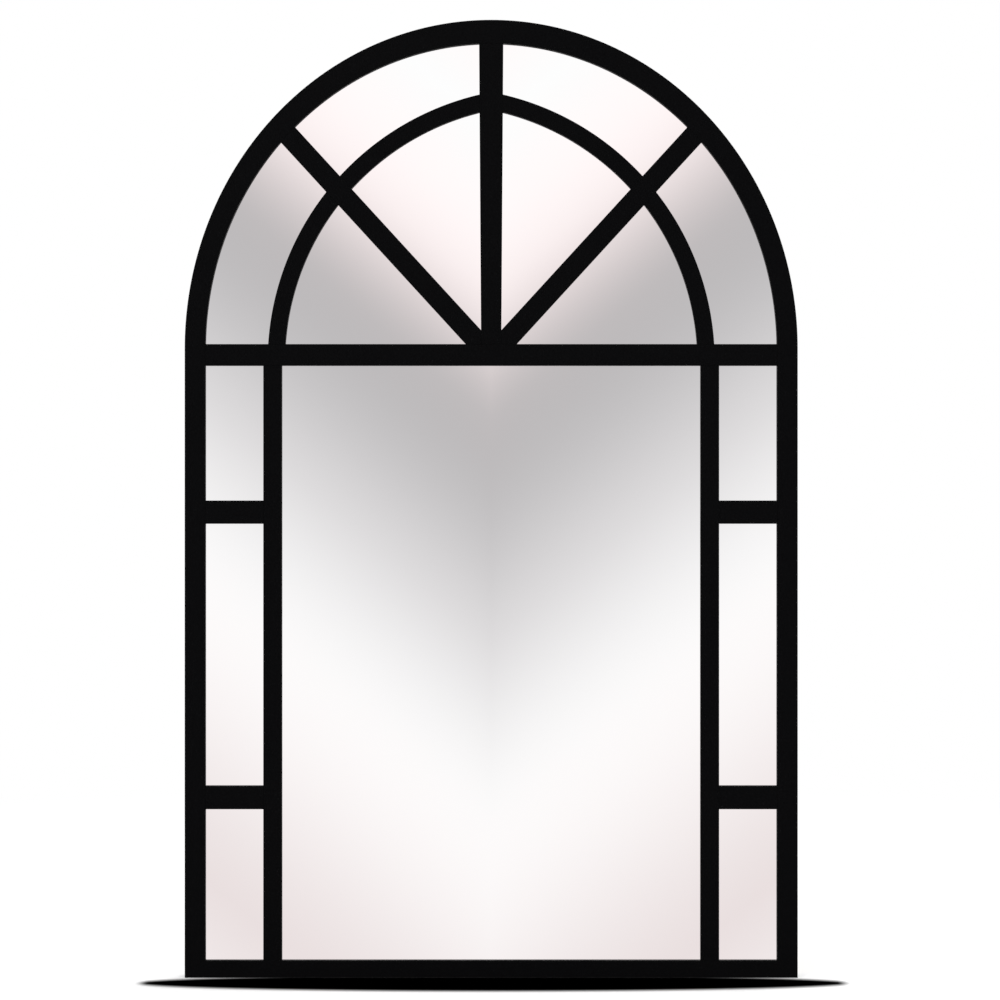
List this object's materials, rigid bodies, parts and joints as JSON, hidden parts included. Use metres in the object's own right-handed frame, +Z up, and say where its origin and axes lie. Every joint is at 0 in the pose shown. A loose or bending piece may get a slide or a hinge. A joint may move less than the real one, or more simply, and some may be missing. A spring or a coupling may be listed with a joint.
{
  "type": "arched window mirror",
  "caption": "Arched wall mirror in a black metal window frame, with a spoked fan over a transom, side lights and one large pane.",
  "frame": {"origin": "centre of the base: midway between the sides and midway through the depth of the frame, on the underside of the bottom rail", "axes": "+Z up, -Y out of the front of the mirror, +Y towards the wall"},
  "size_m": [0.711, 0.025, 1.111],
  "materials": {
    "powder_coat": "satin",
    "silvered_glass": "polished",
    "fibreboard": "matte",
    "rubber": "matte",
    "zinc_plate": "satin"
  },
  "bodies": {
    "mirror": {"rim_arch": "powder_coat", "left_side_rail": "powder_coat", "right_side_rail": "powder_coat", "bottom_rail": "powder_coat", "transom_bar": "powder_coat", "left_stile": "powder_coat", "right_stile": "powder_coat", "left_lower_cross_bar": "powder_coat", "left_upper_cross_bar": "powder_coat", "right_lower_cross_bar": "powder_coat", "right_upper_cross_bar": "powder_coat", "centre_spoke": "powder_coat", "left_spoke": "powder_coat", "right_spoke": "powder_coat", "left_lower_muntin_arch": "powder_coat", "left_upper_muntin_arch": "powder_coat", "right_lower_muntin_arch": "powder_coat", "right_upper_muntin_arch": "powder_coat", "mirror_glass": "silvered_glass", "backing_board": "fibreboard", "left_setting_block": "rubber", "right_setting_block": "rubber", "fixing_tab_1": "powder_coat", "fixing_tab_2": "powder_coat", "fixing_tab_3": "powder_coat", "fixing_tab_4": "powder_coat", "fixing_tab_5": "powder_coat", "fixing_tab_6": "powder_coat", "fixing_tab_7": "powder_coat", "fixing_tab_8": "powder_coat", "fixing_tab_9": "powder_coat", "fixing_tab_10": "powder_coat", "tab_screw_1": "zinc_plate", "tab_screw_2": "zinc_plate", "tab_screw_3": "zinc_plate", "tab_screw_4": "zinc_plate", "tab_screw_5": "zinc_plate", "tab_screw_6": "zinc_plate", "tab_screw_7": "zinc_plate", "tab_screw_8": "zinc_plate", "tab_screw_9": "zinc_plate", "tab_screw_10": "zinc_plate", "left_hanger_plate": "powder_coat", "left_ring_strap": "zinc_plate", "left_strap_screw_1": "zinc_plate", "left_strap_screw_2": "zinc_plate", "right_hanger_plate": "powder_coat", "right_ring_strap": "zinc_plate", "right_strap_screw_1": "zinc_plate", "right_strap_screw_2": "zinc_plate"},
    "left_ring": {"left_d_ring": "zinc_plate"},
    "right_ring": {"right_d_ring": "zinc_plate"}
  },
  "joints": [
    {"name": "left_ring_swing", "type": "hinge", "parent": "mirror", "child": "left_ring", "pos_m": [-0.3125, 0.007, 0.68], "axis": [1, 0, 0], "range_deg": [0, 180]},
    {"name": "right_ring_swing", "type": "hinge", "parent": "mirror", "child": "right_ring", "pos_m": [0.3125, 0.007, 0.68], "axis": [1, 0, 0], "range_deg": [0, 180]}
  ]
}
